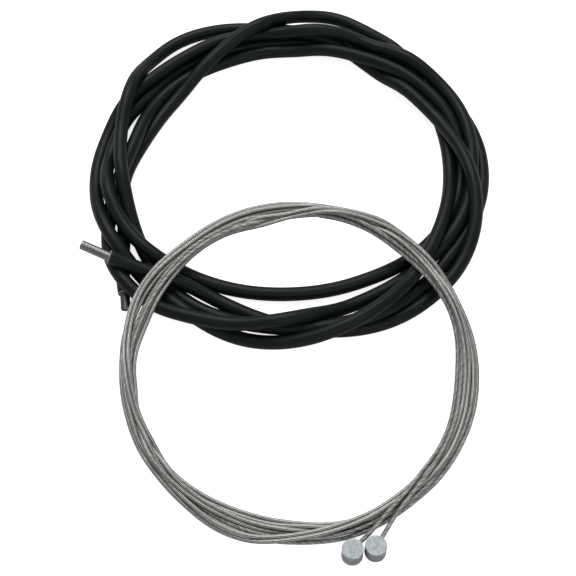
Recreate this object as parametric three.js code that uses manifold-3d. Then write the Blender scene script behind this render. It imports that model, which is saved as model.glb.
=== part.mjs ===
// Bicycle brake cable set: a coil of black housing with its steel spiral bare at both ends,
// and two stranded inner wires with cast barrel heads, coiled together and resting on the housing.
// Millimetres, +Z up, the set lies on Z = 0.

import * as THREE from 'three';
import { mergeVertices } from 'three/addons/utils/BufferGeometryUtils.js';
import Module from 'manifold-3d';

const wasm = await Module();
wasm.setup();

// Clearances
const seatGap = 0.3; // between pieces that rest on each other
const floorGap = 0.02; // under a piece that touches the ground

// Housing, from the outside in
const jacketDiameter = 5;
const spiralDiameter = 3.4;
const spiralFit = 0.2; // between the jacket's bore and the spiral
const stripThickness = 0.4;
const stripWidth = 1.15; // of the flat steel strip, along the housing
const stripGap = 0.15; // between neighbouring turns of the strip
const linerFit = 0.2; // between the spiral and the liner
const linerWall = 0.25;
const linerSetback = 0.4; // of the liner's ends from the spiral's
const spiralBuried = 4; // length of each bare spiral that is still inside the jacket

// Housing coil: turns side by side on the ground, and one more turn in a groove above them
const housingRowTurns = 4;
const housingInnerRadius = 54.6;
const riderGroove = 1; // the groove counted from the middle of the coil
const footAngle = 16; // half the flat spot under each turn, in degrees round the turn

// Inner wires: the first lies in a row of turns, and the second rides in the grooves above
const wireDiameter = 1.5;
const firstWireTurns = 5;
const wireInnerRadius = 53.85;
const wireCoilCentre = new THREE.Vector2(2.9, -82.3); // seen from the housing coil's centre

// Cast barrel heads
const headDiameter = 6.7;
const headHeight = 5;
const headEdge = 0.35;
const wireBoreFit = 0.15; // round the wire, in the head
const wireBoreDepth = 2.3;

// Facets
const housingFacet = 40; // degrees round one turn of housing
const wireFacet = 55;
const housingSegments = 60;
const wireCoilSegments = 56;
const jacketSides = 12;
const wireSides = 8;
const stripStepsPerTurn = 12;
const headSegments = 24;
const headEdgeFacet = 45;
const leadSteps = 6;

// Worked out from the sizes above
const jacketRadius = jacketDiameter / 2;
const wireRadius = wireDiameter / 2;
const spiralRadius = spiralDiameter / 2;
const headRadius = headDiameter / 2;
const housingRowRadii = rowRadii(housingInnerRadius, jacketDiameter, housingRowTurns);
const housingOuterTurn = housingRowRadii.at(-1);
const riderRadius = housingRowRadii[riderGroove] + jacketRadius;
const rowHeight = jacketRadius * Math.cos(degrees(footAngle));
const riderTop = rowHeight + jacketDiameter * Math.sin(degrees(60)) + jacketRadius;
const firstRowRadii = rowRadii(wireInnerRadius, wireDiameter, firstWireTurns);
const wireOuterTurn = firstRowRadii.at(-1);
const secondRowRadii = firstRowRadii.slice(0, -1).map((radius) => radius + wireRadius);
const secondRowRise = Math.sqrt((wireDiameter + seatGap) ** 2 - wireRadius ** 2);

// Cord routes, chosen by hand: degrees round the coil, millimetres outside its outer turn, and
// millimetres up from the route's start. The last point is the spiral's tip, and the one before it
// the jacket's end.
const leftEndRoute = [[221.3, -3.6, 0], [216.8, 0.8, 2.6], [214, 4.3, 4.5], [207.9, 10.4, 5.7]];
const frontEndRoute = [[218.4, 0.4, 0], [220.4, 4.4, 0], [222.1, 6.1, 0], [225.5, 9.8, 0]];
// Each head's place, and then the wire's points from the head into the wire coil.
const leftHeadPlace = [-74.8, 4.4];
const leftWireRoute = [[-69.6, 1.6], [-66.6, 0.1]];
const rightHeadPlace = [-68.5, 5.6];
const rightWireRoute = [[-63.1, 2.1], [-59.8, -0.2]];
const wireRise = 0.5; // of the wire from the head into the coil, at each point

const jacketBlack = new THREE.MeshStandardMaterial({ color: '#1b1d1c', roughness: 0.5, metalness: 0 });
const spiralSteel = new THREE.MeshStandardMaterial({ color: '#8d8d8b', roughness: 0.35, metalness: 1 });
const linerWhite = new THREE.MeshStandardMaterial({ color: '#d9d8d2', roughness: 0.6, metalness: 0 });
const wireSteel = new THREE.MeshStandardMaterial({ color: '#9c9a94', roughness: 0.35, metalness: 1 });
const castZinc = new THREE.MeshStandardMaterial({ color: '#b3bbbd', roughness: 0.45, metalness: 0.9 });

function degrees(angle) {
  return THREE.MathUtils.degToRad(angle);
}

// Centre radii of turns that lie side by side, from the coil's inner edge outwards.
function rowRadii(innerEdge, thickness, turns) {
  return Array.from({ length: turns }, (_, turn) => innerEdge + thickness * (turn + 0.5));
}

function polar(angle, radius, height) {
  return new THREE.Vector3(radius * Math.cos(degrees(angle)), radius * Math.sin(degrees(angle)), height);
}

function arc(x, y, radius, from, to, facet) {
  const steps = Math.max(1, Math.round(Math.abs(to - from) / facet));
  return Array.from({ length: steps + 1 }, (_, step) => {
    const angle = degrees(from + (to - from) * step / steps);
    return new THREE.Vector2(x + radius * Math.cos(angle), y + radius * Math.sin(angle));
  });
}

// The outline of a row of turns: their undersides from the middle outwards, then back over their tops.
// The hollows between neighbours are bridged. A turn may ride in one groove, and feet are flat spots.
function coilProfile({ radii, turnRadius, height, facet, foot = 0, groove = null }) {
  const bridge = 35; // degrees left out of a turn's outline, where it meets its neighbour
  const last = radii.length - 1;
  const points = [];
  radii.forEach((radius, turn) => {
    const from = turn === 0 ? 180 : 180 + bridge;
    const to = turn === last ? 360 : 360 - bridge;
    if (foot > 0) {
      points.push(...arc(radius, height, turnRadius, from, 270 - foot, facet));
      points.push(...arc(radius, height, turnRadius, 270 + foot, to, facet));
    } else {
      points.push(...arc(radius, height, turnRadius, from, to, facet));
    }
  });
  [...radii.keys()].reverse().forEach((turn) => {
    const outerOfRider = groove !== null && turn === groove + 1;
    const innerOfRider = groove !== null && turn === groove;
    const flank = innerOfRider ? 60 + bridge : bridge;
    const from = turn === last ? 0 : flank;
    const to = turn === 0 ? 180 : 180 - (outerOfRider ? 60 + bridge : bridge);
    points.push(...arc(radii[turn], height, turnRadius, from, to, facet));
    if (outerOfRider) {
      const riderHeight = height + 2 * turnRadius * Math.sin(degrees(60));
      const riderMiddle = radii[turn] - turnRadius;
      points.push(...arc(riderMiddle, riderHeight, turnRadius, bridge - 60, 240 - bridge, facet));
    }
  });
  return points.filter((point, i) => i === 0 || point.distanceTo(points[i - 1]) > 1e-9);
}

function revolve(profile, segments) {
  return new THREE.LatheGeometry(profile, segments).rotateX(Math.PI / 2);
}

function housingCoilGeometry(offset = 0) {
  const profile = coilProfile({
    radii: housingRowRadii,
    turnRadius: jacketRadius,
    height: rowHeight,
    facet: housingFacet,
    foot: footAngle,
    groove: riderGroove,
  });
  return revolve(grown(profile, offset), housingSegments);
}

function wireCoilGeometry(radii, height, offset = 0) {
  const profile = coilProfile({ radii, turnRadius: wireRadius, height, facet: wireFacet });
  return revolve(grown(profile, offset), wireCoilSegments);
}

// A closed outline with every point moved outwards, for cutting a neighbour clear of a coil.
function grown(profile, offset) {
  if (offset === 0) return profile;
  const ring = profile.slice(0, -1);
  const moved = ring.map((point, i) => {
    const before = ring[(i + ring.length - 1) % ring.length];
    const after = ring[(i + 1) % ring.length];
    const along = after.clone().sub(before).normalize();
    return new THREE.Vector2(point.x + along.y * offset, point.y - along.x * offset);
  });
  return [...moved, moved[0].clone()];
}

function polygon(radius, sides) {
  return arc(0, 0, radius, 0, 360, 360 / sides).slice(0, -1);
}

function tubeAlong(points, radius, sides) {
  const path = new THREE.CatmullRomCurve3(points);
  const section = new THREE.Shape(polygon(radius, sides));
  return new THREE.ExtrudeGeometry(section, { extrudePath: path, steps: leadSteps, bevelEnabled: false });
}

function rod(start, direction, radius, length, sides) {
  const geometry = new THREE.ExtrudeGeometry(new THREE.Shape(polygon(radius, sides)), {
    depth: length,
    bevelEnabled: false,
  });
  return geometry.applyMatrix4(pointingFrom(start, direction));
}

// The transform that stands a shape made along +Z at a place and turns it along a direction.
function pointingFrom(start, direction) {
  const turn = new THREE.Quaternion().setFromUnitVectors(new THREE.Vector3(0, 0, 1), direction);
  return new THREE.Matrix4().compose(start, turn, new THREE.Vector3(1, 1, 1));
}

function solidFrom(geometry) {
  const bare = geometry.clone();
  bare.deleteAttribute('normal');
  bare.deleteAttribute('uv');
  const merged = mergeVertices(bare, 1e-4);
  const corners = merged.index.array;
  const triangles = [];
  for (let i = 0; i < corners.length; i += 3) {
    const [a, b, c] = corners.slice(i, i + 3);
    if (a !== b && b !== c && c !== a) triangles.push(a, b, c);
  }
  const mesh = new wasm.Mesh({
    numProp: 3,
    vertProperties: Float32Array.from(merged.attributes.position.array),
    triVerts: Uint32Array.from(triangles),
  });
  mesh.merge(); // closes the seam where a turned shape meets itself
  return new wasm.Manifold(mesh);
}

function geometryFrom(solid) {
  const mesh = solid.getMesh();
  const geometry = new THREE.BufferGeometry();
  geometry.setAttribute('position', new THREE.BufferAttribute(Float32Array.from(mesh.vertProperties), 3));
  geometry.setIndex(new THREE.BufferAttribute(Uint32Array.from(mesh.triVerts), 1));
  geometry.computeVertexNormals();
  return geometry;
}

function cutFrom(geometry, cutters) {
  const cut = cutters.reduce((solid, cutter) => solid.subtract(solidFrom(cutter)), solidFrom(geometry));
  return geometryFrom(cut);
}

// Flat steel strip wound edge to edge along +Z: a long box bent round the axis, step by step.
function woundStrip(length) {
  const pitch = stripWidth + stripGap;
  const turns = (length - stripWidth) / pitch;
  const steps = Math.round(turns * stripStepsPerTurn);
  const strip = new THREE.BoxGeometry(stripWidth, stripThickness, turns, 1, 1, steps);
  const corner = strip.attributes.position;
  for (let i = 0; i < corner.count; i += 1) {
    const turned = corner.getZ(i) + turns / 2;
    const radius = spiralRadius - stripThickness / 2 + corner.getY(i);
    const angle = turned * 2 * Math.PI;
    const height = stripWidth / 2 + turned * pitch + corner.getX(i);
    corner.setXYZ(i, radius * Math.cos(angle), radius * Math.sin(angle), height);
  }
  strip.computeVertexNormals();
  return strip;
}

function linerTube(length) {
  const outer = spiralRadius - stripThickness - linerFit;
  const ring = new THREE.Shape(polygon(outer, jacketSides));
  ring.holes.push(new THREE.Path(polygon(outer - linerWall, jacketSides).reverse()));
  return new THREE.ExtrudeGeometry(ring, { depth: length, bevelEnabled: false });
}

function part(name, geometry, material) {
  const mesh = new THREE.Mesh(geometry, material);
  mesh.name = name;
  return mesh;
}

// One end of the housing: the jacket's last stretch, the spiral that sticks out of it and the liner.
function housingEnd(name, route, height) {
  const points = route.map(([angle, offset, rise]) =>
    polar(angle, housingOuterTurn + offset, height + rise));
  const tip = points.pop();
  const jacketEnd = points.at(-1);
  const direction = tip.clone().sub(jacketEnd).normalize();
  const spiralStart = jacketEnd.clone().addScaledVector(direction, -spiralBuried);
  const spiralLength = tip.distanceTo(spiralStart);

  const jacket = tubeAlong(points, jacketRadius, jacketSides);
  const boreStart = spiralStart.clone().addScaledVector(direction, -seatGap);
  const boreRadius = spiralRadius + spiralFit;
  const bore = rod(boreStart, direction, boreRadius, spiralBuried + jacketDiameter, jacketSides);

  const end = new THREE.Group();
  const cutters = [housingCoilGeometry(seatGap), ...wireCoilCutters(), bore];
  end.add(part(`housing_${name}_end`, cutFrom(jacket, cutters), jacketBlack));

  const inner = new THREE.Group();
  inner.applyMatrix4(pointingFrom(spiralStart, direction));
  inner.add(part(`spiral_${name}`, woundStrip(spiralLength), spiralSteel));
  const liner = part(`liner_${name}`, linerTube(spiralLength - 2 * linerSetback), linerWhite);
  liner.position.z = linerSetback;
  inner.add(liner);
  end.add(inner);
  return end;
}

// The wires' coil leans on the housing coil: its front is on the ground, and its inner turn rests
// on the housing's top turn where the two circles cross.
function leanOfWireCoils() {
  const apart = wireCoilCentre.length();
  const innerTurn = firstRowRadii[0];
  const crossing = (riderRadius ** 2 - innerTurn ** 2 + apart ** 2) / (2 * apart);
  const reach = wireOuterTurn + (apart - crossing);
  return Math.asin((riderTop + seatGap) / reach);
}

const lean = leanOfWireCoils();
const wireCoils = new THREE.Group();
wireCoils.position.set(
  wireCoilCentre.x,
  wireCoilCentre.y,
  wireOuterTurn * Math.sin(lean) + wireRadius + floorGap,
);
wireCoils.rotation.x = lean;
wireCoils.updateMatrix();
wireCoils.add(part('wire_1_coil', wireCoilGeometry(firstRowRadii, 0), wireSteel));
wireCoils.add(part('wire_2_coil', wireCoilGeometry(secondRowRadii, secondRowRise), wireSteel));

function wireCoilCutters() {
  return [
    wireCoilGeometry(firstRowRadii, 0, seatGap),
    wireCoilGeometry(secondRowRadii, secondRowRise, seatGap),
  ].map((geometry) => geometry.applyMatrix4(wireCoils.matrix));
}

function barrelProfile() {
  return [
    new THREE.Vector2(0, 0),
    ...arc(headRadius - headEdge, headEdge, headEdge, -90, 0, headEdgeFacet),
    ...arc(headRadius - headEdge, headHeight - headEdge, headEdge, 0, 90, headEdgeFacet),
    new THREE.Vector2(0, headHeight),
  ];
}

// A cast barrel head, with the end of its wire held in its side.
function wireEnd(number, place, route) {
  const aroundWires = ([angle, offset], height) => polar(angle, wireOuterTurn + offset, height)
    .add(new THREE.Vector3(wireCoilCentre.x, wireCoilCentre.y, 0));
  const middle = aroundWires(place, headHeight / 2);
  const points = route.map((point, i) => aroundWires(point, headHeight / 2 + wireRise * (i + 1)));
  const outwards = points[0].clone().sub(middle).setZ(0).normalize();
  const boreBottom = middle.clone().addScaledVector(outwards, headRadius - wireBoreDepth);
  const wireStart = boreBottom.clone().addScaledVector(outwards, seatGap);
  const wireLeaves = middle.clone().addScaledVector(outwards, headRadius + wireRadius);

  const barrel = revolve(barrelProfile(), headSegments).translate(middle.x, middle.y, floorGap);
  const bore = rod(boreBottom, outwards, wireRadius + wireBoreFit, 2 * wireBoreDepth, wireSides);
  const lead = tubeAlong([wireStart, wireLeaves, ...points], wireRadius, wireSides);

  const end = new THREE.Group();
  end.add(part(`barrel_head_${number}`, cutFrom(barrel, [bore]), castZinc));
  end.add(part(`wire_${number}_lead`, cutFrom(lead, wireCoilCutters()), wireSteel));
  return end;
}

const group = new THREE.Group();
group.add(part('housing_coil', housingCoilGeometry(), jacketBlack));
group.add(housingEnd('left', leftEndRoute, rowHeight + jacketDiameter + seatGap));
group.add(housingEnd('front', frontEndRoute, jacketRadius + floorGap));
group.add(wireCoils);
group.add(wireEnd(1, leftHeadPlace, leftWireRoute));
group.add(wireEnd(2, rightHeadPlace, rightWireRoute));

// The origin is the middle of the set's footprint, on the ground.
group.updateMatrixWorld(true);
const middle = new THREE.Box3().setFromObject(group, true).getCenter(new THREE.Vector3());
group.position.set(-middle.x, -middle.y, 0);

export default group;
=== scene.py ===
"""Bicycle brake cable set: a coil of black housing whose steel spiral is bare at both ends, and
two stranded inner wires with cast barrel heads, coiled as a pair that leans on the housing."""

import math

import bmesh
import bpy
import numpy as np
from mathutils import Matrix, Vector
from mathutils.kdtree import KDTree


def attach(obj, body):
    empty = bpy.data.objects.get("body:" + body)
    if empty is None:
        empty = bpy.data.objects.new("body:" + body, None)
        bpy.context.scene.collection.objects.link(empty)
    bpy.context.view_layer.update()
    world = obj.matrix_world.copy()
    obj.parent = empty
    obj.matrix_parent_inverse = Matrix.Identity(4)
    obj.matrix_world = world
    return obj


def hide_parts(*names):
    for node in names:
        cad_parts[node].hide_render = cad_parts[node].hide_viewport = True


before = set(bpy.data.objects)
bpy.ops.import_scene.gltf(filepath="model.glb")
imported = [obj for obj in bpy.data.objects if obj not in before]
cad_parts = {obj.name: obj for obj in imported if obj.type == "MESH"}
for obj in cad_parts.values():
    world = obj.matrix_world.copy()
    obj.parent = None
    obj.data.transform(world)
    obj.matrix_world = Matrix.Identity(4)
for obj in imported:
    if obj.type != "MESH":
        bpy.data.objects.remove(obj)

bl_info = {
    "name": "Bicycle brake cable",
    "version": (1, 0, 0),
    "blender": (4, 5, 0),
    "location": "3D View > Sidebar > Brake cable",
    "description": "Lays a coil of brake housing and a coil of two stranded brake wires",
    "category": "Add Mesh",
}

MM = 0.001

# How finely the cords are laid: degrees between the samples that settle, then millimetres along
# each cord, and along the housing where the wires ride over it
ANGLE_STEP = 1.5
HOUSING_SPACING = 1.8
WIRE_SPACING = 0.62
RIDDEN_SPACING = 0.6

# The jacket's mesh, and how far its cut rims are taken off
JACKET_SIDES = 28
END_CHAMFER = 0.4 * MM
END_REACH = 0.88

# The wound strip of the spirals, and how far it goes into the jacket
STRIP_THICKNESS = 0.4 * MM
STRIP_WIDTH = 1.2 * MM
STRIP_GAP = 0.1 * MM
STRIP_EDGE = 0.06 * MM
SPIRAL_BURIED = 1.5 * MM
SPIN_STEPS_PER_TURN = 36

# The wires' grooves between their strands, and how bright the mesh's points across a strand are,
# from its crest to the groove and up again; the groove is darkened as painted shade
GROOVE_DEPTH = 0.15 * MM
ACROSS_A_STRAND = (1.0, 0.55, 0.0, 0.55)
DULLEST_STRAND = 0.5

# Turns that touch lie this share of their thickness apart, as they press into each other a little
TOUCHING = 0.95

# The photo's camera, in metres and degrees, the soft lamps' places and sizes, the floor, and how
# brightly the studio lights what isn't seen straight by the camera
CAMERA_PLACE = (-0.0004, -0.2184, 0.3729)
CAMERA_LOOKS_DOWN = 61
CAMERA_LENS = 74.62
CAMERA_SENSOR = 36
KEY_LAMP = ((-0.15, 0.75, 1.1), 0.9)
FILL_LAMP = ((0.5, -0.9, 0.9), 1.2)
FLOOR_HALF = 3.0
FLOOR_GLOW = 0.8
STUDIO_LEVEL = 0.42

# In millimetres: the housing coil's middle, and each bare spiral from the jacket's end to its tip
HOUSING_CENTRE = (0.0, 36.9)
LEFT_SPIRAL = ((-63.34, -5.83, 12.20), (-72.91, -1.72, 13.40))
FRONT_SPIRAL = ((-58.02, -15.54, 2.52), (-57.40, -21.50, 2.52))

# The wires' coil: its middle, how far it leans back on the housing in degrees, the heads' places on
# the ground with the height of their undersides, how far they lean back, and how high the wires
# enter them
WIRE_CENTRE = (2.9, -45.41, 6.88)
WIRE_LEAN = 5.79
HEADS = {"left": (19.9, -108.7), "right": (27.3, -107.6)}
HEAD_BASE = 0.02
HEAD_TILT = math.radians(7)
WIRE_EXIT_HEIGHT = 2.5

# The housing's turns, followed from the left end to the front end: degrees round the coil,
# millimetres from its middle, and how many other turns it rides over there. The turns are
# irregular. They were read off the photo by eye, a script turned the readings into degrees and
# millimetres, and many rows were then corrected by hand.
HOUSING_LAY = [
    (214, 76.4, 3), (217, 73, 3), (221.5, 69.2, 2), (230, 63.2, 1.3), (240, 60.8, 0.4), (250, 61.4, 0),
    (260, 63.2, 0), (270, 65.6, 0), (280, 68, 0), (290, 70.5, 0), (300, 72.5, 0), (312, 73.2, 0),
    (327, 73.7, 0), (337, 72.4, 1), (344, 70.6, 2), (352, 68, 2), (360, 65.4, 2), (370, 62.8, 2),
    (382, 59.8, 2), (395, 57.6, 2), (406, 57, 1.4), (423, 60, 1), (441, 61.8, 0.8), (450, 64.8, 0.3),
    (460, 69.8, 0), (470, 73.4, 0), (480, 75.9, 0), (489, 76.3, 0.2), (500, 73.1, 0.8),
    (510, 67.9, 1.6), (520, 65.5, 2), (535, 62.8, 2), (548, 61.4, 1.3), (558, 61.5, 0.6),
    (573, 62.9, 0), (588, 65.1, 0), (600, 66.9, 0), (610, 66.2, 0), (618, 66.8, 1), (640, 68.8, 1),
    (660, 69.6, 0.5), (676, 68.4, 0), (690, 68.6, 0), (700, 70, 0), (711, 72, 0), (730, 72.8, 0),
    (745, 71.1, 0), (770, 67.9, 0), (790, 63.8, 0), (805, 62.2, 0), (822, 61.8, 0), (840, 63.1, 0),
    (850, 64.2, 0), (870, 65.2, 0), (885, 66.8, 0.2), (902, 67.3, 1), (917, 66.3, 1.8), (926, 65, 2),
    (934, 63.6, 1.8), (942, 60.7, 1.6), (950, 57.7, 1), (967, 54.6, 0), (980, 53, 0), (993, 52.3, 0),
    (1007, 52.8, 0), (1022, 54.2, 0), (1040, 58.2, 0), (1060, 62.2, 0), (1075, 64.2, 0),
    (1090, 65.5, 0.3), (1101, 64.9, 1), (1112, 63, 1), (1120, 61.6, 1), (1130, 59.9, 2),
    (1140, 58.1, 2), (1150, 56.7, 1.7), (1160, 57, 1), (1175, 57.6, 0.3), (1190, 57.6, 0),
    (1205, 58.9, 0), (1222, 60.4, 0), (1238, 59.2, 0), (1247, 58.2, 0.5), (1258, 60, 1),
    (1270, 64.7, 1), (1280, 69.8, 1), (1290, 73.7, 1), (1296, 75.2, 1), (1304, 75.6, 1),
    (1311, 74.9, 1.3), (1320, 73.4, 2), (1335, 69.6, 2), (1351, 67.4, 2), (1361, 63.8, 1),
    (1371, 61.3, 0), (1385, 61.3, 0), (1400, 62.6, 0), (1412, 65.6, 1), (1425, 67.1, 1),
    (1441, 67.9, 1), (1455, 69.2, 1), (1470, 69.2, 1), (1480, 66.9, 1), (1492, 64.8, 1),
    (1510, 63.5, 1), (1525, 60.4, 1), (1540, 63.5, 1), (1555, 65.7, 0.3), (1567, 64.8, 0),
    (1580, 66.1, 0), (1600, 69.2, 0), (1620, 71.6, 0.2), (1633, 71.8, 1.4), (1646, 71.6, 1.5),
    (1657, 70.2, 1), (1673, 69.2, 0.6), (1690, 71.4, 0), (1704, 72.5, 1), (1715, 72.9, 2),
    (1730, 71, 2), (1745, 66.8, 2), (1762, 62.6, 2), (1775, 60.9, 1), (1789, 60, 0.8), (1802, 60.3, 0),
    (1820, 62.3, 0), (1840, 65.4, 0), (1850, 68, 0), (1860, 71.7, 0), (1870, 75.6, 0), (1880, 77, 0),
    (1889, 72.6, 1), (1897, 65, 2), (1910, 61.5, 2), (1922, 57.9, 2), (1930, 55.9, 1), (1943, 55, 0),
    (1960, 55.8, 0), (1971, 57.8, 0), (1980, 60.8, 0), (1986, 62.6, 0), (1992, 63.3, 0),
    (1998, 63.6, 0), (2003, 64.9, 0), (2007, 67.5, 0), (2011, 70, 0), (2016, 73.4, 0), (2019, 75.7, 0),
    (2022.1, 78.2, 0),
]

# The wire bundle's inner and outer edges, read and turned into millimetres in the same way:
# degrees round the coil, millimetres from its middle
BUNDLE_EDGES = [
    (0, 53.2, 61.2), (10, 54.4, 60.9), (20, 55, 60.5), (30, 55, 60.7), (42, 54.7, 61.8),
    (58, 54.7, 62.3), (70, 55.2, 61.6), (80, 55.3, 61.5), (95, 53.9, 61.8), (108, 53.8, 61.8),
    (120, 54.5, 61.3), (130, 54.4, 60.8), (140, 53.9, 61.5), (152, 53.3, 62.3), (162, 53.1, 62),
    (172, 53.9, 61.5), (183, 54.6, 60.3), (200, 54.3, 60.4), (217, 54.8, 60.3), (233, 53.6, 60.9),
    (243, 52.7, 62.1), (256, 52.1, 62.5), (270, 52.1, 61.3), (290, 54, 60.9), (310, 54.4, 60.5),
    (325, 54.1, 61.1), (340, 53.5, 61.3), (350, 52.9, 61.3),
]
# Each wire from its head into the bundle, from readings too: degrees, millimetres from the middle,
# wires crossed
LEADS = {
    "left": [
        (-74, 64.5, 2), (-69.6, 62.2, 2), (-66.4, 60.3, 2.5), (-63, 58.8, 3), (-57.5, 57.2, 3),
        (-48, 55.6, 3),
    ],
    "right": [
        (-67.7, 65.7, 2), (-63.1, 62.5, 2), (-59.6, 60.2, 2.5), (-55.5, 58.9, 3), (-50.5, 57.6, 3),
        (-42, 56.6, 3),
    ],
}
# The pair's turns, listed: degrees, place from the bundle's inner edge (0) to its outer
# edge (1), and how many wires it rides over. It works its way outwards under the others and crosses
# back on top.
PAIR_LAY = [
    (-28, 0, 2), (20, 0, 0), (50, 0, 0), (72, 0.17, 0.5), (90, 0.22, 1), (120, 0.12, 1), (155, 0.25, 1),
    (205, 0.67, 0), (250, 0.7, 0), (268, 0.85, 0.5), (285, 1, 1), (325, 1, 1), (405, 1, 1),
    (414, 0.97, 2), (428, 0.75, 3), (442, 0.3, 3), (455, 0.02, 2), (475, 0, 0), (528, 0, 0),
    (565, 0.33, 1), (605, 0.33, 1), (625, 0.42, 0.5), (650, 0.68, 0), (665, 0.68, 0), (685, 0.75, 0),
    (770, 0.7, 0), (815, 1, 1), (870, 1, 1), (878, 0.97, 2), (893, 0.72, 3), (908, 0.3, 3),
    (925, 0.02, 2), (945, 0, 0), (970, 0, 0), (1025, 0.33, 1), (1045, 0.5, 1), (1110, 0.4, 1),
    (1175, 0.8, 0), (1235, 0.8, 0), (1285, 1, 1), (1326, 1, 1), (1335, 0.97, 2), (1352, 0.7, 3),
    (1368, 0.3, 3), (1384, 0.02, 2), (1400, 0.1, 1), (1415, 0.3, 0), (1530, 0.3, 0),
]
# Where each wire ends, in degrees, and how far apart the pair is laid, in wire diameters, before
# its turns are moved apart
PAIR_ENDS = {"left": 1522, "right": 1528}
PAIR_SPACING = 0.88


def angle_samples(start, end, step):
    """Two angles, in degrees, and the multiples of step between them that aren't too near to them."""
    nearest = 0.3
    inner = np.arange(math.ceil(start / step + nearest), math.floor(end / step - nearest) + 1) * step
    return np.concatenate([[start], inner, [end]])


def unbent(line, stiffness):
    """The same samples, their ends kept, with as little bending between them as they can have."""
    span = len(line) - 1
    share = np.arange(span + 1) / span
    if line.ndim > 1:
        share = share[:, None]
    straight = line[0] + (line[-1] - line[0]) * share
    rest = line - straight
    waves = np.fft.rfft(np.concatenate([rest, -rest[-2:0:-1]]), axis=0)
    bends = (2 - 2 * np.cos(math.pi * np.arange(span + 1) / span)) ** 2
    if line.ndim > 1:
        bends = bends[:, None]
    return straight + np.fft.irfft(waves / (1 + stiffness * bends), 2 * span, axis=0)[: span + 1]


def through(rows, angles):
    """Each column of rows after the first, at the given angles."""
    rows = np.array(rows, float)
    return [np.interp(angles, rows[:, 0], rows[:, k]) for k in range(1, rows.shape[1])]


def settle(strands, thickness, step, rounds, held=()):
    """Heights at which the turns rest on the ground and on each other.

    strands are (angles, radii, layers). Turns at one angle push each other apart up and down, the
    one with the higher layer on top, and each strand bends as little as it can. held are
    (strand, sample, height) that stay."""
    # From sure_order on, the layers say which turn is on top. Turns that lie nearly beside each
    # other push less and less, and most_short limits a push. The support under each sample grows
    # and fades by small shares, over a line that is loose at first and stiff at the end.
    sure_order = 0.2
    beside = 0.949 * thickness
    eased_in = 0.3 * thickness
    layer_rise = 0.84 * thickness
    most_short = 0.4 * thickness
    lowest, highest = -0.2, 2.8 * thickness
    push_share, push_kept, move_share = 0.15, 0.998, 0.4
    loose, stiff = 24, 60
    floor = thickness / 2
    counts = [len(angles) for angles, _, _ in strands]
    angles, radii, layers = (np.concatenate([strand[k] for strand in strands]) for k in range(3))
    starts = np.cumsum([0] + counts)
    place = np.stack([radii * np.cos(np.radians(angles)), radii * np.sin(np.radians(angles))], 1)
    per_turn = round(360 / step)
    station = np.round(angles / step).astype(int)

    lower, upper, ordered, apart = [], [], [], []
    shifts = (-2, 0, 2)
    members = {}
    for index, value in enumerate(station):
        members.setdefault(value % per_turn, []).append(index)
    for shift in shifts:
        for value, here in members.items():
            for first in here:
                for second in members.get((value + shift) % per_turn, []):
                    if second <= first or abs(station[first] - station[second]) < per_turn // 2 and any(
                        low <= first < high and low <= second < high
                        for low, high in zip(starts[:-1], starts[1:])
                    ):
                        continue
                    gap = float(np.linalg.norm(place[first] - place[second]))
                    if gap >= thickness:
                        continue
                    over = layers[second] - layers[first]
                    lower.append(first if over >= 0 else second)
                    upper.append(second if over >= 0 else first)
                    ordered.append(abs(over) > sure_order)
                    apart.append(gap)
    lower, upper, ordered, apart = (np.array(column) for column in (lower, upper, ordered, apart))
    need = np.sqrt((TOUCHING * thickness) ** 2 - np.minimum(apart, beside) ** 2)
    need *= np.clip((thickness - apart) / eased_in, 0, 1)

    heights = floor + layer_rise * layers
    support = np.zeros(len(heights))
    for _ in range(rounds):
        rise = heights[upper] - heights[lower]
        side = np.where(ordered | (rise >= 0), 1, -1)
        short = np.clip(need - side * rise, 0, most_short) * side / len(shifts)
        push = np.bincount(upper, short, len(heights)) - np.bincount(lower, short, len(heights))
        support = push_kept * np.clip(support + push_share * push, lowest, highest)
        for strand, sample, height in held:
            support[starts[strand] + sample] = height - floor
        for low, high in zip(starts[:-1], starts[1:]):
            bent = unbent(floor + support[low:high], loose)
            heights[low:high] += move_share * (bent - heights[low:high])
        heights = np.maximum(heights, floor)
    return [
        np.maximum(unbent(heights[low:high], stiff), floor)
        for low, high in zip(starts[:-1], starts[1:])
    ]


def near_pairs(points, others, reach):
    """Each point and other point that are no farther apart than reach, as two index columns."""
    tree = KDTree(len(others))
    for index, point in enumerate(others):
        tree.insert(point, index)
    tree.balance()
    pairs = [
        (index, other)
        for index, point in enumerate(points)
        for _, other, _ in tree.find_range(point, reach)
    ]
    return np.array(pairs, int).reshape(-1, 2).T


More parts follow.
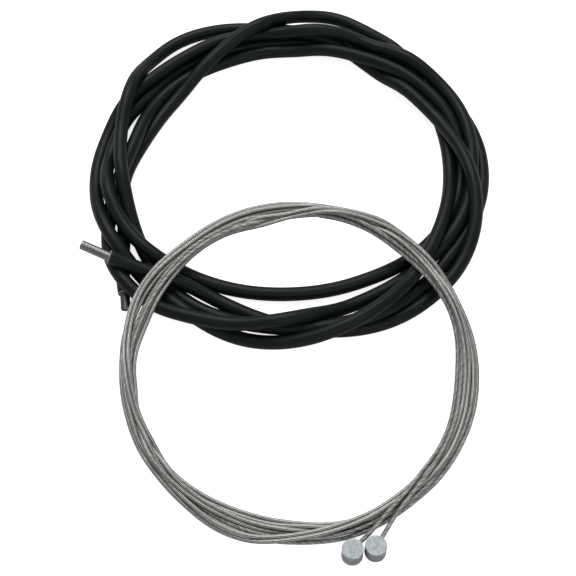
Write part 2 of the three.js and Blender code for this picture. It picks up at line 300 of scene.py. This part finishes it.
def kept_apart(lines, thickness, stiffness, still=None, still_thickness=0.0):
    """The same lines, moved as little as it takes for their turns to lie beside and on each other.

    The ends stay, and nothing sinks into the ground. Turns move up far more readily than sideways.
    still is a line that they ride over, and that stays."""
    # Turns are looked for a little farther off than the distance that they need. Samples of the same
    # stretch of a line aren't turns. The levelled line says which turn is above. A line is held
    # near its ends, and turns that are deep inside each other are parted up and down.
    rounds = 150
    neighbours = 1.2
    around_still = 1.3
    same_stretch = 5 * thickness
    levelling = 160
    end_ramp, end_held = 12 * thickness, 0.25
    sideways = 0.2
    deep_inside = 0.6
    counts = [len(line) for line in lines]
    starts = np.cumsum([0] + counts)
    home = np.concatenate(lines)
    owner = np.repeat(np.arange(len(lines)), counts)
    spacing = float(np.linalg.norm(lines[0][1] - lines[0][0]))
    first, second = near_pairs(home, home, neighbours * thickness)
    elsewhere = (owner[first] != owner[second]) | ((second - first) * spacing > same_stretch)
    once = (first < second) & elsewhere
    first, second = first[once], second[once]
    level = np.concatenate([unbent(line[:, 2], levelling) for line in lines])
    upright = np.where(level[second] >= level[first], 1.0, -1.0)
    from_end = np.concatenate([np.minimum(np.arange(n), np.arange(n)[::-1]) for n in counts])
    freedom = np.clip(from_end * spacing / end_ramp - end_held, 0, 1)
    ease = freedom[:, None] * np.array([sideways, sideways, 1.0])
    points = home.copy()

    # Who moves, away from whom, up or down if they are inside each other, and how far apart
    groups = [(first, points, second, -upright, thickness), (second, points, first, upright, thickness)]
    if still is not None:
        reach = (thickness + still_thickness) / 2
        rider, ridden = near_pairs(home, still, around_still * reach)
        groups.append((rider, still, ridden, np.ones(len(rider)), reach))
    for _ in range(rounds):
        total = np.zeros_like(points)
        weight = np.zeros(len(points))
        for mover, others, partner, lift, needed in groups:
            across = points[mover] - others[partner]
            distance = np.linalg.norm(across, axis=1)
            across[:, 2] += lift * np.clip(deep_inside * needed - distance, 0, None)
            way = across / np.maximum(np.linalg.norm(across, axis=1), 1e-6)[:, None]
            short = np.clip(TOUCHING * needed - distance, 0, None)
            for axis in range(3):
                total[:, axis] += np.bincount(mover, way[:, axis] * short, len(points))
            weight += np.bincount(mover, short, len(points))
        points += ease * total / np.maximum(2 * weight / thickness, 1)[:, None]
        for low, high in zip(starts[:-1], starts[1:]):
            points[low:high] = home[low:high] + unbent(points[low:high] - home[low:high], stiffness)
            points[low], points[high - 1] = home[low], home[high - 1]
        points[:, 2] = np.maximum(points[:, 2], np.minimum(home[:, 2], thickness / 2))
    return [points[low:high] for low, high in zip(starts[:-1], starts[1:])]


def evenly(points, spacing):
    """The same line with its points spacing apart."""
    along = np.concatenate([[0], np.cumsum(np.linalg.norm(np.diff(points, axis=0), axis=1))])
    count = max(2, round(along[-1] / spacing) + 1)
    where = np.linspace(0, along[-1], count)
    return np.stack([np.interp(where, along, points[:, k]) for k in range(3)], 1)


def new_piece(name, mesh, material):
    """A finished piece at the origin, riding on the one body."""
    piece = bpy.data.objects.new(name, mesh)
    bpy.context.scene.collection.objects.link(piece)
    mesh.materials.clear()
    mesh.materials.append(material)
    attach(piece, "root")
    return piece


def section_curve(name, radius, lobes, depth, sides):
    """A closed outline, round or with a lobe for each strand of a rope, for a curve's bevel."""
    data = bpy.data.curves.new(name, "CURVE")
    data.dimensions = "2D"
    spline = data.splines.new("POLY")
    spline.points.add(sides - 1)
    for k, point in enumerate(spline.points):
        turn = 2 * math.pi * k / sides
        reach = radius - depth * (0.5 - 0.5 * math.cos(lobes * turn))
        point.co = (reach * math.cos(turn), reach * math.sin(turn), 0, 1)
    spline.use_cyclic_u = True
    return bpy.data.objects.new(name, data)


def unit(vector):
    """The vector, made one long."""
    return vector / np.linalg.norm(vector)


def swept(name, points, outline, twist_per_metre=0.0, chamfer=0.0):
    """A mesh tube of the outline along the points, in metres, with its two end rims taken off when a
    chamfer is given.
    """
    reach = np.ones(len(points))
    if chamfer:
        ends = [points[k] + chamfer * unit(points[k + step] - points[k]) for k, step in ((0, 1), (-1, -1))]
        points = np.concatenate([points[:1], ends[:1], points[1:-1], ends[1:], points[-1:]])
        reach = np.ones(len(points))
        reach[[0, -1]] = END_REACH
    data = bpy.data.curves.new(name, "CURVE")
    data.dimensions = "3D"
    data.twist_mode = "Z_UP"
    data.bevel_mode = "OBJECT"
    data.bevel_object = outline
    data.use_fill_caps = True
    spline = data.splines.new("POLY")
    spline.points.add(len(points) - 1)
    along = 0.0
    for k, point in enumerate(spline.points):
        if k:
            along += float(np.linalg.norm(points[k] - points[k - 1]))
        point.co = (*points[k], 1)
        point.tilt = along * twist_per_metre
        point.radius = reach[k]
    line = bpy.data.objects.new(name + "_line", data)
    bpy.context.scene.collection.objects.link(line)
    bpy.context.scene.collection.objects.link(outline)
    bpy.context.view_layer.update()
    evaluated = line.evaluated_get(bpy.context.evaluated_depsgraph_get())
    mesh = bpy.data.meshes.new_from_object(evaluated)
    mesh.name = name
    bpy.data.objects.remove(line)
    bpy.data.objects.remove(outline)
    return mesh


def mark_strands(mesh, strands):
    """Gives each point of a wire's surface its share of light: none in a groove, as painted shade,
    and on a strand more or less, as some strands are worn brighter than others."""
    spread = 1 - DULLEST_STRAND
    brightness = [DULLEST_STRAND + spread * (3 * k % strands) / (strands - 1) for k in range(strands)]
    ring = [crest * share for crest in brightness for share in ACROSS_A_STRAND]
    light = mesh.attributes.new("strand_light", "FLOAT", "POINT")
    light.data.foreach_set("value", [ring[k % len(ring)] for k in range(len(mesh.vertices))])


def smooth_shaded(mesh):
    """Shades the mesh's quads smooth and leaves its end caps flat."""
    mesh.polygons.foreach_set("use_smooth", [len(face.vertices) == 4 for face in mesh.polygons])
    mesh.update()


# Materials


def shade(colour, share):
    """The colour, darker or lighter by the share."""
    return [share * channel for channel in colour]


def socket(tree, name, way, kind, default=None):
    """A new input or output of a node group."""
    made = tree.interface.new_socket(name=name, in_out=way, socket_type=kind)
    if default is not None:
        made.default_value = default
    return made


def cloud_group():
    """Soft cloudy colour that drifts between two tones, with fine grain for the roughness."""
    tree = bpy.data.node_groups.get("Drifting tone")
    if tree:
        return tree
    tree = bpy.data.node_groups.new("Drifting tone", "ShaderNodeTree")
    socket(tree, "Dark tone", "INPUT", "NodeSocketColor", (0.1, 0.1, 0.1, 1))
    socket(tree, "Light tone", "INPUT", "NodeSocketColor", (0.2, 0.2, 0.2, 1))
    socket(tree, "Cloud scale", "INPUT", "NodeSocketFloat", 60.0)
    socket(tree, "Roughness", "INPUT", "NodeSocketFloat", 0.4)
    socket(tree, "Roughness spread", "INPUT", "NodeSocketFloat", 0.1)
    socket(tree, "Tone", "OUTPUT", "NodeSocketColor")
    socket(tree, "Surface roughness", "OUTPUT", "NodeSocketFloat")
    nodes, links = tree.nodes, tree.links
    given = nodes.new("NodeGroupInput")
    out = nodes.new("NodeGroupOutput")
    where = nodes.new("ShaderNodeTexCoord")
    cloud = nodes.new("ShaderNodeTexNoise")
    cloud.inputs["Detail"].default_value = 5
    cloud.inputs["Roughness"].default_value = 0.6
    spread = nodes.new("ShaderNodeMapRange")
    spread.inputs["From Min"].default_value = 0.3
    spread.inputs["From Max"].default_value = 0.7
    mix = nodes.new("ShaderNodeMix")
    mix.data_type = "RGBA"
    low = nodes.new("ShaderNodeMath")
    low.operation = "MULTIPLY_ADD"
    links.new(where.outputs["Object"], cloud.inputs["Vector"])
    links.new(given.outputs["Cloud scale"], cloud.inputs["Scale"])
    links.new(cloud.outputs["Fac"], spread.inputs["Value"])
    links.new(spread.outputs["Result"], mix.inputs["Factor"])
    links.new(given.outputs["Dark tone"], mix.inputs["A"])
    links.new(given.outputs["Light tone"], mix.inputs["B"])
    links.new(spread.outputs["Result"], low.inputs[0])
    links.new(given.outputs["Roughness spread"], low.inputs[1])
    links.new(given.outputs["Roughness"], low.inputs[2])
    links.new(mix.outputs["Result"], out.inputs["Tone"])
    links.new(low.outputs["Value"], out.inputs["Surface roughness"])
    return tree


def finish(name, dark, light, metallic, roughness, spread, cloud_scale):
    """A material whose tone and roughness drift, with its shader and tone, for its own detail."""
    material = bpy.data.materials.new(name)
    material.use_nodes = True
    nodes, links = material.node_tree.nodes, material.node_tree.links
    shader = nodes["Principled BSDF"]
    group = nodes.new("ShaderNodeGroup")
    group.node_tree = cloud_group()
    group.inputs["Dark tone"].default_value = (*dark, 1)
    group.inputs["Light tone"].default_value = (*light, 1)
    group.inputs["Cloud scale"].default_value = cloud_scale
    group.inputs["Roughness"].default_value = roughness
    group.inputs["Roughness spread"].default_value = spread
    links.new(group.outputs["Tone"], shader.inputs["Base Color"])
    links.new(group.outputs["Surface roughness"], shader.inputs["Roughness"])
    shader.inputs["Metallic"].default_value = metallic
    return material, shader, group


def add_bump(material, shader, height_socket, strength, distance):
    """Roughens the shader's surface by the height."""
    bump = material.node_tree.nodes.new("ShaderNodeBump")
    bump.inputs["Strength"].default_value = strength
    bump.inputs["Distance"].default_value = distance
    material.node_tree.links.new(height_socket, bump.inputs["Height"])
    material.node_tree.links.new(bump.outputs["Normal"], shader.inputs["Normal"])


def noise(material, scale, detail):
    """A noise texture that stays with the object."""
    nodes, links = material.node_tree.nodes, material.node_tree.links
    where = nodes.new("ShaderNodeTexCoord")
    made = nodes.new("ShaderNodeTexNoise")
    made.inputs["Scale"].default_value = scale
    made.inputs["Detail"].default_value = detail
    links.new(where.outputs["Object"], made.inputs["Vector"])
    return made


def jacket_material(settings):
    """Satin near-black plastic with a fine grain."""
    material, shader, _ = finish(
        "Jacket black",
        shade(settings.jacket_colour, 0.75),
        shade(settings.jacket_colour, 1.3),
        metallic=0.0,
        roughness=0.36,
        spread=0.12,
        cloud_scale=90,
    )
    grain = noise(material, scale=900, detail=3)
    add_bump(material, shader, grain.outputs["Fac"], strength=0.12, distance=0.0002)
    shader.inputs["Specular IOR Level"].default_value = 0.15
    return material


def cut_material(settings):
    """The jacket's cut end, rougher than its skin and painted paler as a highlight on the cut."""
    material, _, _ = finish(
        "Cut jacket",
        shade(settings.cut_highlight_colour, 0.7),
        shade(settings.cut_highlight_colour, 1.3),
        metallic=0.0,
        roughness=0.6,
        spread=0.1,
        cloud_scale=900,
    )
    return material


def steel_material(name, colour, roughness):
    """Drawn steel strip with fine scratches."""
    material, shader, _ = finish(
        name,
        shade(colour, 0.8),
        shade(colour, 1.15),
        metallic=1.0,
        roughness=roughness,
        spread=0.14,
        cloud_scale=140,
    )
    scratches = noise(material, scale=2600, detail=2)
    add_bump(material, shader, scratches.outputs["Fac"], strength=0.15, distance=0.00008)
    return material


def wire_material(settings):
    """Drawn steel strands, with painted shade darkening the grooves between them."""
    material, shader, group = finish(
        "Wire steel",
        shade(settings.colour, 0.6),
        shade(settings.colour, 1.15),
        metallic=0.75,
        roughness=0.4,
        spread=0.1,
        cloud_scale=1100,
    )
    nodes, links = material.node_tree.nodes, material.node_tree.links
    strand = nodes.new("ShaderNodeAttribute")
    strand.attribute_name = "strand_light"
    depth = nodes.new("ShaderNodeMapRange")
    depth.inputs["From Min"].default_value = 0.1
    depth.inputs["From Max"].default_value = 1.0
    # Towards the grooves the tone is mixed to a dark colour: painted shade
    shaded = nodes.new("ShaderNodeMix")
    shaded.data_type = "RGBA"
    shaded.inputs["A"].default_value = (0.05, 0.047, 0.04, 1)
    links.new(strand.outputs["Fac"], depth.inputs["Value"])
    links.new(depth.outputs["Result"], shaded.inputs["Factor"])
    links.new(group.outputs["Tone"], shaded.inputs["B"])
    links.new(shaded.outputs["Result"], shader.inputs["Base Color"])
    return material


def liner_material():
    """Off-white slippery plastic."""
    material, _, _ = finish(
        "Liner",
        (0.6, 0.59, 0.54),
        (0.76, 0.75, 0.7),
        metallic=0.0,
        roughness=0.45,
        spread=0.1,
        cloud_scale=200,
    )
    return material


def zinc_material(name, colour, metallic, roughness):
    """Cloudy zinc with small pits."""
    material, shader, _ = finish(
        name,
        shade(colour, 0.62),
        shade(colour, 1.2),
        metallic=metallic,
        roughness=roughness,
        spread=0.2,
        cloud_scale=640,
    )
    pits = noise(material, scale=1300, detail=5)
    add_bump(material, shader, pits.outputs["Fac"], strength=0.7, distance=0.0005)
    return material


# Settings


class HousingSettings(bpy.types.PropertyGroup):
    """Sizes and colours of the housing"""

    diameter: bpy.props.FloatProperty(
        name="Diameter", description="Outside of the black jacket", default=0.005, unit="LENGTH"
    )
    spiral_diameter: bpy.props.FloatProperty(
        name="Spiral diameter", description="Outside of the steel spiral", default=0.0034, unit="LENGTH"
    )
    jacket_colour: bpy.props.FloatVectorProperty(
        name="Jacket colour",
        description="Near-black plastic",
        subtype="COLOR",
        default=(0.0048, 0.0085, 0.0070),
    )
    # The cut end's colour is painted paler than the jacket, as a highlight on the cut
    cut_highlight_colour: bpy.props.FloatVectorProperty(
        name="Cut colour",
        description="Of the jacket's cut end",
        subtype="COLOR",
        default=(0.15, 0.17, 0.155),
    )
    spiral_colour: bpy.props.FloatVectorProperty(
        name="Spiral colour", description="Drawn steel strip", subtype="COLOR", default=(0.21, 0.21, 0.205)
    )


class WireSettings(bpy.types.PropertyGroup):
    """Sizes and colour of the wires"""

    diameter: bpy.props.FloatProperty(
        name="Diameter", description="Across the stranded wire", default=0.0015, unit="LENGTH"
    )
    strands: bpy.props.IntProperty(
        name="Outer strands", description="Strands seen round the wire", default=8
    )
    lay: bpy.props.FloatProperty(
        name="Lay", description="Length in which a strand goes round once", default=0.007, unit="LENGTH"
    )
    colour: bpy.props.FloatVectorProperty(
        name="Steel colour", description="Bright drawn steel", subtype="COLOR", default=(0.9, 0.92, 0.885)
    )


class HeadSettings(bpy.types.PropertyGroup):
    """Sizes and colour of the barrel heads"""

    diameter: bpy.props.FloatProperty(
        name="Diameter", description="Of the barrel head", default=0.00695, unit="LENGTH"
    )
    height: bpy.props.FloatProperty(
        name="Height", description="Of the barrel head", default=0.0055, unit="LENGTH"
    )
    edge: bpy.props.FloatProperty(
        name="Edge", description="Radius of the worn edge", default=0.0003, unit="LENGTH"
    )
    zinc_colour: bpy.props.FloatVectorProperty(
        name="Zinc colour", description="Dull cast zinc", subtype="COLOR", default=(0.40, 0.44, 0.455)
    )


class StageSettings(bpy.types.PropertyGroup):
    """The floor and the lamps"""

    floor_colour: bpy.props.FloatVectorProperty(
        name="Floor colour", description="Pale paper", subtype="COLOR", default=(0.86, 0.86, 0.86)
    )
    key_power: bpy.props.FloatProperty(
        name="Key light", description="Power of the soft light above and behind", default=12.0
    )
    fill_power: bpy.props.FloatProperty(
        name="Fill light", description="Power of the soft light in front", default=4.0
    )


# Operators


class BRAKECABLE_OT_stage(bpy.types.Operator):
    """Makes the camera, the floor and the soft studio light"""

    bl_idname = "brakecable.stage"
    bl_label = "Set the stage"

    def execute(self, context):
        settings = context.scene.brake_stage
        scene = context.scene
        lens = bpy.data.cameras.new("Camera")
        lens.lens = CAMERA_LENS
        lens.sensor_width = CAMERA_SENSOR
        camera = bpy.data.objects.new("Camera", lens)
        scene.collection.objects.link(camera)
        camera.location = CAMERA_PLACE
        camera.rotation_euler = (math.radians(90 - CAMERA_LOOKS_DOWN), 0, 0)
        lens.clip_start = 0.01
        scene.camera = camera

        plate = bmesh.new()
        bmesh.ops.create_grid(plate, x_segments=1, y_segments=1, size=FLOOR_HALF)
        mesh = bpy.data.meshes.new("floor")
        plate.to_mesh(mesh)
        plate.free()
        floor = bpy.data.objects.new("floor", mesh)
        scene.collection.objects.link(floor)
        paper = bpy.data.materials.new("Paper")
        paper.use_nodes = True
        nodes, links = paper.node_tree.nodes, paper.node_tree.links
        shader = nodes["Principled BSDF"]
        shader.inputs["Base Color"].default_value = (*settings.floor_colour, 1)
        shader.inputs["Roughness"].default_value = 0.9
        shader.inputs["Specular IOR Level"].default_value = 0.1
        path = nodes.new("ShaderNodeLightPath")
        glow = nodes.new("ShaderNodeMath")
        glow.operation = "MULTIPLY"
        glow.inputs[1].default_value = FLOOR_GLOW
        links.new(path.outputs["Is Camera Ray"], glow.inputs[0])
        shader.inputs["Emission Color"].default_value = (1, 1, 1, 1)
        links.new(glow.outputs["Value"], shader.inputs["Emission Strength"])
        mesh.materials.append(paper)

        world = bpy.data.worlds.new("Studio")
        world.use_nodes = True
        scene.world = world
        tree = world.node_tree
        back = tree.nodes["Background"]
        path = tree.nodes.new("ShaderNodeLightPath")
        level = tree.nodes.new("ShaderNodeMapRange")
        level.inputs["To Min"].default_value = STUDIO_LEVEL
        level.inputs["To Max"].default_value = 1.0
        tree.links.new(path.outputs["Is Camera Ray"], level.inputs["Value"])
        tree.links.new(level.outputs["Result"], back.inputs["Strength"])
        back.inputs["Color"].default_value = (1, 1, 1, 1)

        for name, (place, size), power in (
            ("key", KEY_LAMP, settings.key_power),
            ("fill", FILL_LAMP, settings.fill_power),
        ):
            lamp = bpy.data.lights.new(name, "AREA")
            lamp.size = size
            lamp.energy = power
            holder = bpy.data.objects.new(name, lamp)
            scene.collection.objects.link(holder)
            holder.location = place
            holder.rotation_euler = (-Vector(place)).to_track_quat("-Z", "Y").to_euler()
        scene.view_settings.view_transform = "Standard"
        return {"FINISHED"}


def spiral_mesh(name, start, tip, outer):
    """A flat strip wound edge to edge, from just inside the jacket to its tip.

    Its section starts as a square one across. It is wound one turn too far and then cut flat at
    the tip."""
    start, tip = Vector(start) * MM, Vector(tip) * MM
    direction = (tip - start).normalized()
    begin = start - direction * SPIRAL_BURIED
    length = (tip - begin).length
    pitch = STRIP_WIDTH + STRIP_GAP
    turns = length / pitch + 1
    work = bmesh.new()
    section = bmesh.ops.create_grid(work, x_segments=1, y_segments=1, size=0.5)["verts"]
    middle = outer - STRIP_THICKNESS / 2
    bmesh.ops.scale(work, vec=(STRIP_THICKNESS, STRIP_WIDTH, 1), verts=section)
    bmesh.ops.rotate(work, matrix=Matrix.Rotation(math.radians(90), 3, "X"), verts=section)
    bmesh.ops.translate(work, vec=(middle, 0, STRIP_WIDTH / 2), verts=section)
    steps = round(turns * SPIN_STEPS_PER_TURN)
    bmesh.ops.spin(
        work,
        geom=work.verts[:] + work.edges[:] + work.faces[:],
        cent=(0, 0, 0),
        axis=(0, 0, 1),
        dvec=(0, 0, turns * pitch / steps),
        angle=turns * 2 * math.pi,
        steps=steps,
        use_duplicate=False,
    )
    bmesh.ops.bisect_plane(
        work,
        geom=work.verts[:] + work.edges[:] + work.faces[:],
        plane_co=(0, 0, length),
        plane_no=(0, 0, 1),
        clear_outer=True,
    )
    bmesh.ops.holes_fill(work, edges=[edge for edge in work.edges if edge.is_boundary], sides=0)
    turn = direction.to_track_quat("Z", "Y").to_matrix().to_4x4()
    bmesh.ops.transform(work, matrix=Matrix.Translation(begin) @ turn, verts=work.verts)
    bmesh.ops.recalc_face_normals(work, faces=work.faces)
    mesh = bpy.data.meshes.new(name)
    work.to_mesh(mesh)
    work.free()
    return mesh


class BRAKECABLE_OT_spirals(bpy.types.Operator):
    """Winds the bare steel spiral at each end of the housing"""

    bl_idname = "brakecable.spirals"
    bl_label = "Wind the spirals"

    def execute(self, context):
        settings = context.scene.brake_housing
        bright = steel_material("Spiral steel", settings.spiral_colour, roughness=0.34)
        # The front spiral gets the same steel painted darker, as painted shade for the coil's shadow over
        # it, and a little rougher
        shaded_steel = steel_material("Spiral steel, painted shade", shade(settings.spiral_colour, 0.45), roughness=0.4)
        liner = liner_material()
        for side, (start, tip), steel in (("left", LEFT_SPIRAL, bright), ("front", FRONT_SPIRAL, shaded_steel)):
            mesh = spiral_mesh(f"bare_spiral_{side}", start, tip, settings.spiral_diameter / 2)
            piece = new_piece(f"bare_spiral_{side}", mesh, steel)
            edges = piece.modifiers.new("Edges", "BEVEL")
            edges.width = STRIP_EDGE
            edges.segments = 2
            edges.limit_method = "ANGLE"
            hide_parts(f"spiral_{side}")
            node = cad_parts[f"liner_{side}"]
            node.data.materials.clear()
            node.data.materials.append(liner)
        return {"FINISHED"}


def head_zinc_by_light(face):
    """Which zinc a face of a head gets: 0 on its top, painted lighter as lit from above; 2 on its rounded
    edge, worn and painted paler still as a highlight; 1 elsewhere, the sides painted darker as shade.
    """
    level, rounded = 0.97, 0.4
    if face.normal.z > level:
        return 0
    if face.normal.z > rounded:
        return 2
    return 1


class BRAKECABLE_OT_heads(bpy.types.Operator):
    """Casts the barrel head at the end of each wire"""

    bl_idname = "brakecable.heads"
    bl_label = "Cast the heads"

    def execute(self, context):
        settings = context.scene.brake_heads
        zinc = settings.zinc_colour
        # Copies of one zinc for light and shade: the top painted lighter, the sides painted darker as
        # shade, and the rounded edge worn and painted paler as a highlight
        lit_and_shaded_zinc = [
            zinc_material("Zinc top, painted light", shade(zinc, 1.08), metallic=0.3, roughness=0.42),
            zinc_material("Zinc side, painted shade", shade(zinc, 0.72), metallic=0.7, roughness=0.5),
            zinc_material("Zinc edge, worn with painted highlight", shade(zinc, 1.5), metallic=0.3, roughness=0.35),
        ]
        sharp = 1.0
        for node, (side, (x, y)) in zip(("barrel_head_1", "barrel_head_2"), HEADS.items()):
            work = bmesh.new()
            bmesh.ops.create_cone(
                work,
                cap_ends=True,
                segments=64,
                radius1=settings.diameter / 2,
                radius2=settings.diameter / 2,
                depth=settings.height,
            )
            rims = [edge for edge in work.edges if abs(edge.calc_face_angle(0)) > sharp]
            bmesh.ops.bevel(
                work, geom=rims, offset=settings.edge, segments=5, profile=0.5, affect="EDGES", material=-1
            )
            lift = HEAD_BASE * MM + settings.height / 2 + settings.diameter / 2 * math.sin(HEAD_TILT)
            bmesh.ops.rotate(work, matrix=Matrix.Rotation(-HEAD_TILT, 3, "X"), verts=work.verts)
            bmesh.ops.translate(work, vec=(x * MM, y * MM, lift), verts=work.verts)
            mesh = bpy.data.meshes.new(f"head_{side}")
            work.to_mesh(mesh)
            work.free()
            smooth_shaded(mesh)
            piece = new_piece(f"head_{side}", mesh, lit_and_shaded_zinc[0])
            for material in lit_and_shaded_zinc[1:]:
                mesh.materials.append(material)
            for face in mesh.polygons:
                face.material_index = head_zinc_by_light(face)
            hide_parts(node)
        return {"FINISHED"}


def housing_line(diameter):
    """The housing's centre line, in millimetres, from its left end to its front end."""
    angles = angle_samples(HOUSING_LAY[0][0], HOUSING_LAY[-1][0], ANGLE_STEP)
    radii, layers = through(HOUSING_LAY, angles)
    radii = unbent(radii, stiffness=60)
    held = [(0, 0, LEFT_SPIRAL[0][2]), (0, len(angles) - 1, FRONT_SPIRAL[0][2])]
    (heights,) = settle([(angles, radii, layers)], diameter, ANGLE_STEP, rounds=1200, held=held)
    turn = np.radians(angles)
    x, y = HOUSING_CENTRE[0] + radii * np.cos(turn), HOUSING_CENTRE[1] + radii * np.sin(turn)
    points = np.stack([x, y, heights], 1)
    points[0], points[-1] = LEFT_SPIRAL[0], FRONT_SPIRAL[0]
    smooth = unbent(evenly(points, HOUSING_SPACING), stiffness=4)
    (line,) = kept_apart([smooth], diameter, stiffness=10)
    return evenly(line, HOUSING_SPACING)


def leaned(line, angle):
    """The line, turned about the X axis by the angle."""
    x, y, z = line.T
    cos, sin = math.cos(angle), math.sin(angle)
    return np.stack([x, y * cos - z * sin, y * sin + z * cos], 1)


def wire_lines(diameter, housing, housing_diameter):
    """The two wires' centre lines, in millimetres, from their heads to their far ends.

    They are laid flat, over the housing turned down to where it meets them, and then leaned back."""
    rows = np.array(BUNDLE_EDGES + [(360, *BUNDLE_EDGES[0][1:])], float)
    pair = np.array(PAIR_LAY, float)
    strands = []
    half = PAIR_SPACING / 2 * diameter
    for side, offset in (("left", -half), ("right", half)):
        lead = np.array(LEADS[side], float)
        coil_angles = angle_samples(pair[0, 0], PAIR_ENDS[side], ANGLE_STEP)
        (across, _) = through(pair, coil_angles)
        inner, outer = through(rows, coil_angles % 360)
        edge = half + diameter / 2
        middle = inner + edge + (outer - inner - 2 * edge) * across + offset
        angles = angle_samples(lead[0, 0], PAIR_ENDS[side], ANGLE_STEP)
        radii = np.interp(
            angles, np.concatenate([lead[:, 0], coil_angles]), np.concatenate([lead[:, 1], middle])
        )
        layers = np.interp(
            angles, np.concatenate([lead[:, 0], pair[:, 0]]), np.concatenate([lead[:, 2], pair[:, 2]])
        )
        strands.append((angles, unbent(radii, stiffness=12), layers))
    lean = math.radians(WIRE_LEAN)
    held = []
    for k, (angles, radii, _) in enumerate(strands):
        across = radii[0] * math.sin(math.radians(angles[0]))
        above = (WIRE_EXIT_HEIGHT - WIRE_CENTRE[2] - across * math.sin(lean)) / math.cos(lean)
        held.append((k, 0, above + diameter / 2))
    flat = []
    settled = settle(strands, diameter, ANGLE_STEP, rounds=900, held=held)
    for (angles, radii, _), heights in zip(strands, settled):
        turn = np.radians(angles)
        line = np.stack([radii * np.cos(turn), radii * np.sin(turn), heights], 1)
        flat.append(evenly(line, WIRE_SPACING))
    centre, lift = np.array(WIRE_CENTRE), np.array([0, 0, diameter / 2])
    ridden = leaned(evenly(housing, RIDDEN_SPACING) - centre, -lean) + lift
    apart = kept_apart(flat, diameter, stiffness=4, still=ridden, still_thickness=housing_diameter)
    return [evenly(leaned(line - lift, lean) + centre, WIRE_SPACING) for line in apart]


class BRAKECABLE_OT_housing(bpy.types.Operator):
    """Lays the coil of black housing"""

    bl_idname = "brakecable.housing"
    bl_label = "Lay the housing"

    def execute(self, context):
        settings = context.scene.brake_housing
        line = housing_line(settings.diameter / MM) * MM
        outline = section_curve(
            "jacket_outline", settings.diameter / 2, lobes=0, depth=0, sides=JACKET_SIDES
        )
        mesh = swept("housing", line, outline, chamfer=END_CHAMFER)
        smooth_shaded(mesh)
        housing = new_piece("housing", mesh, jacket_material(settings))
        # The faces at both cut ends get the cut material with its painted highlight
        mesh.materials.append(cut_material(settings))
        centres = np.empty(3 * len(mesh.polygons))
        mesh.polygons.foreach_get("center", centres)
        finish_of_face = np.zeros(len(mesh.polygons), np.int32)
        cut_reach = 0.49 * settings.diameter
        cut_depth = 0.8 * END_CHAMFER
        for end, inwards in ((line[0], unit(line[1] - line[0])), (line[-1], unit(line[-2] - line[-1]))):
            place = centres.reshape(-1, 3) - end
            near = np.linalg.norm(place, axis=1) < cut_reach
            finish_of_face[near & (place @ inwards < cut_depth)] = 1
        mesh.polygons.foreach_set("material_index", finish_of_face)
        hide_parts("housing_coil", "housing_left_end", "housing_front_end")
        return {"FINISHED"}


class BRAKECABLE_OT_wires(bpy.types.Operator):
    """Lays the two stranded wires as a pair"""

    bl_idname = "brakecable.wires"
    bl_label = "Lay the wires"

    def execute(self, context):
        settings = context.scene.brake_wires
        steel = wire_material(settings)
        jacket = context.scene.brake_housing.diameter / MM
        lines = wire_lines(settings.diameter / MM, housing_line(jacket), jacket)
        for side, node, line in zip(("left", "right"), ("1", "2"), lines):
            line = line * MM
            outline = section_curve(
                "wire_outline",
                settings.diameter / 2,
                lobes=settings.strands,
                depth=GROOVE_DEPTH,
                sides=len(ACROSS_A_STRAND) * settings.strands,
            )
            mesh = swept(f"wire_{side}", line, outline, twist_per_metre=2 * math.pi / settings.lay)
            mark_strands(mesh, settings.strands)
            smooth_shaded(mesh)
            wire = new_piece(f"wire_{side}", mesh, steel)
            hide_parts(f"wire_{node}_coil", f"wire_{node}_lead")
        return {"FINISHED"}


class BRAKECABLE_PT_panel(bpy.types.Panel):
    """Sizes and colours of the brake cable"""

    bl_idname = "BRAKECABLE_PT_panel"
    bl_label = "Brake cable"
    bl_space_type = "VIEW_3D"
    bl_region_type = "UI"
    bl_category = "Brake cable"

    def draw(self, context):
        for operator in OPERATORS:
            self.layout.operator(operator.bl_idname)
        for group in SETTINGS:
            box = self.layout.box()
            for name in getattr(context.scene, group).bl_rna.properties.keys():
                if name not in ("rna_type", "name"):
                    box.prop(getattr(context.scene, group), name)


SETTINGS = {
    "brake_housing": HousingSettings,
    "brake_wires": WireSettings,
    "brake_heads": HeadSettings,
    "brake_stage": StageSettings,
}
OPERATORS = (
    BRAKECABLE_OT_stage,
    BRAKECABLE_OT_spirals,
    BRAKECABLE_OT_heads,
    BRAKECABLE_OT_housing,
    BRAKECABLE_OT_wires,
)


def register():
    """Adds the settings, the operators and the panel to Blender."""
    for kind in (*SETTINGS.values(), *OPERATORS, BRAKECABLE_PT_panel):
        bpy.utils.register_class(kind)
    for name, kind in SETTINGS.items():
        setattr(bpy.types.Scene, name, bpy.props.PointerProperty(type=kind))


def unregister():
    """Takes them away again."""
    for name in SETTINGS:
        delattr(bpy.types.Scene, name)
    for kind in reversed((*SETTINGS.values(), *OPERATORS, BRAKECABLE_PT_panel)):
        bpy.utils.unregister_class(kind)


def main():
    """Makes the brake cable."""
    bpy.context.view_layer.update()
    register()
    bpy.ops.brakecable.stage()
    bpy.ops.brakecable.spirals()
    bpy.ops.brakecable.heads()
    bpy.ops.brakecable.housing()
    bpy.ops.brakecable.wires()


if __name__ == "__main__":
    main()
